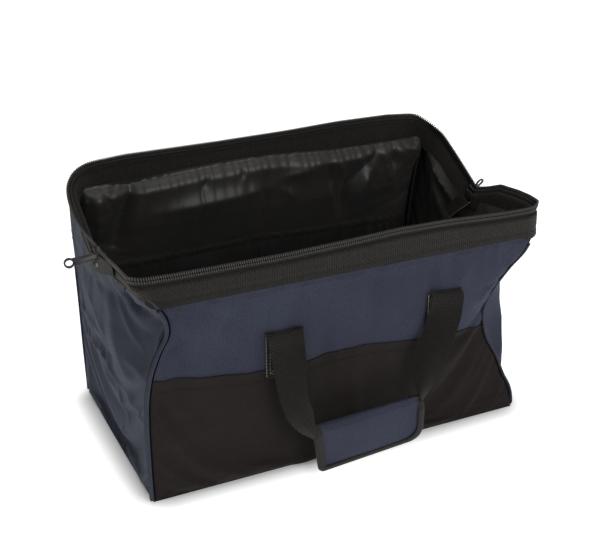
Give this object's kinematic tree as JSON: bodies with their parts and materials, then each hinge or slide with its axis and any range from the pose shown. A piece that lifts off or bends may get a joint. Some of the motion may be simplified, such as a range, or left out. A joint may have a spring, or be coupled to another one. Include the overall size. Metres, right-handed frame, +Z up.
{
  "type": "zippered tool bag",
  "caption": "Wide-mouth zippered tool bag with a wire-framed opening, inner pocket row, two webbing handles and a padded grip wrap.",
  "frame": {"origin": "centre of the flat underside of the base, on the floor", "axes": "+X along the length of the bag, +Y to the back wall, +Z up; the grip wrap is on the -Y side"},
  "size_m": [0.4914, 0.2857, 0.2697],
  "materials": {
    "black_cloth": "woven polyester, matt",
    "navy_cloth": "woven polyester, matt",
    "piping": "woven polyester over cord",
    "lining": "coated nylon, soft sheen",
    "webbing": "ribbed polypropylene webbing",
    "board": "stiff board under the lining",
    "zip_coil": "nylon coil, slight shine",
    "wire_steel": "drawn wire",
    "zip_metal": "grey plated die casting"
  },
  "bodies": {
    "bag_base": {"base_panel": "black_cloth", "base_board": "board", "base_lining": "lining", "base_piping": "piping", "back_lower_panel": "black_cloth", "back_middle_panel": "navy_cloth", "back_lower_lining": "lining", "pocket_row": "lining", "pocket_elastic": "black_cloth", "back_left_piping": "piping", "back_right_piping": "piping", "back_left_anchor": "webbing", "back_right_anchor": "webbing", "left_end_panel": "navy_cloth", "right_end_panel": "navy_cloth", "left_gusset_fold": "navy_cloth", "right_gusset_fold": "navy_cloth"},
    "front_wall": {"front_lower_panel": "black_cloth", "front_upper_panel": "navy_cloth", "front_lining": "lining", "front_hem": "webbing", "front_zip_tape": "black_cloth", "front_zip_teeth": "zip_coil", "front_left_piping": "piping", "front_right_piping": "piping", "front_left_gusset": "navy_cloth", "front_right_gusset": "navy_cloth", "front_left_anchor": "webbing", "front_right_anchor": "webbing"},
    "front_frame": {"front_wire_frame": "wire_steel", "front_left_arm_hem": "webbing", "front_right_arm_hem": "webbing", "front_left_arm_chain": "zip_coil", "front_right_arm_chain": "zip_coil", "left_pivot_rivet": "wire_steel", "right_pivot_rivet": "wire_steel", "left_zip_tail": "black_cloth", "right_zip_tail": "black_cloth"},
    "back_mouth": {"back_upper_panel": "navy_cloth", "back_upper_lining": "lining", "back_wire_frame": "wire_steel", "back_hem": "webbing", "back_zip_tape": "black_cloth", "back_zip_teeth": "zip_coil", "back_left_arm_hem": "webbing", "back_right_arm_hem": "webbing", "back_left_arm_chain": "zip_coil", "back_right_arm_chain": "zip_coil", "back_left_gusset": "navy_cloth", "back_right_gusset": "navy_cloth"},
    "front_handle": {"front_handle_strap": "webbing", "front_grip_pad": "navy_cloth"},
    "grip_flap": {"grip_flap": "navy_cloth"},
    "back_handle": {"back_handle_strap": "webbing"},
    "left_slider": {"left_slider": "zip_metal"},
    "right_slider": {"right_slider": "zip_metal"},
    "left_pull": {"left_pull": "zip_metal"},
    "right_pull": {"right_pull": "zip_metal"}
  },
  "joints": [
    {"name": "front_wall_lean", "type": "hinge", "parent": "bag_base", "child": "front_wall", "pos_m": [0, -0.1105, 0.003], "axis": [1, 0, 0], "range_deg": [-28.5, 0], "deforming": ["left_gusset_fold", "right_gusset_fold"]},
    {"name": "front_frame_swing", "type": "hinge", "parent": "front_wall", "child": "front_frame", "pos_m": [0, -0.109, 0.218], "axis": [1, 0, 0], "range_deg": [-44.3, 0]},
    {"name": "back_mouth_fold", "type": "hinge", "parent": "bag_base", "child": "back_mouth", "pos_m": [0, 0.108, 0.16], "axis": [1, 0, 0], "range_deg": [0, 62]},
    {"name": "front_handle_swing", "type": "hinge", "parent": "front_wall", "child": "front_handle", "pos_m": [0, -0.1155, 0.1505], "axis": [1, 0, 0], "range_deg": [-135, 0]},
    {"name": "grip_flap_open", "type": "hinge", "parent": "front_handle", "child": "grip_flap", "pos_m": [0.0076, -0.1461, 0.05386], "axis": [0.9928, 0, 0.1197], "range_deg": [-90, 0]},
    {"name": "back_handle_swing", "type": "hinge", "parent": "bag_base", "child": "back_handle", "pos_m": [0, 0.1155, 0.1505], "axis": [1, 0, 0], "range_deg": [0, 135]},
    {"name": "left_slider_travel", "type": "slide", "parent": "back_mouth", "child": "left_slider", "axis": [0, 0.881, 0.4732], "range_m": [0, 0.06]},
    {"name": "left_pull_flip", "type": "hinge", "parent": "left_slider", "child": "left_pull", "pos_m": [-0.2122, -0.00081, 0.22593], "axis": [0, 0.881, 0.4732], "range_deg": [0, 135]},
    {"name": "right_slider_travel", "type": "slide", "parent": "back_mouth", "child": "right_slider", "axis": [0, 0.881, 0.4732], "range_m": [0, 0.06]},
    {"name": "right_pull_flip", "type": "hinge", "parent": "right_slider", "child": "right_pull", "pos_m": [0.2122, -0.00081, 0.22593], "axis": [0, -0.881, -0.4732], "range_deg": [0, 135]}
  ],
  "couplings": [
    {"joint": "front_frame_swing", "follows": "front_wall_lean", "ratio": 1.5544},
    {"joint": "back_mouth_fold", "follows": "front_wall_lean", "ratio": -2.1754}
  ]
}
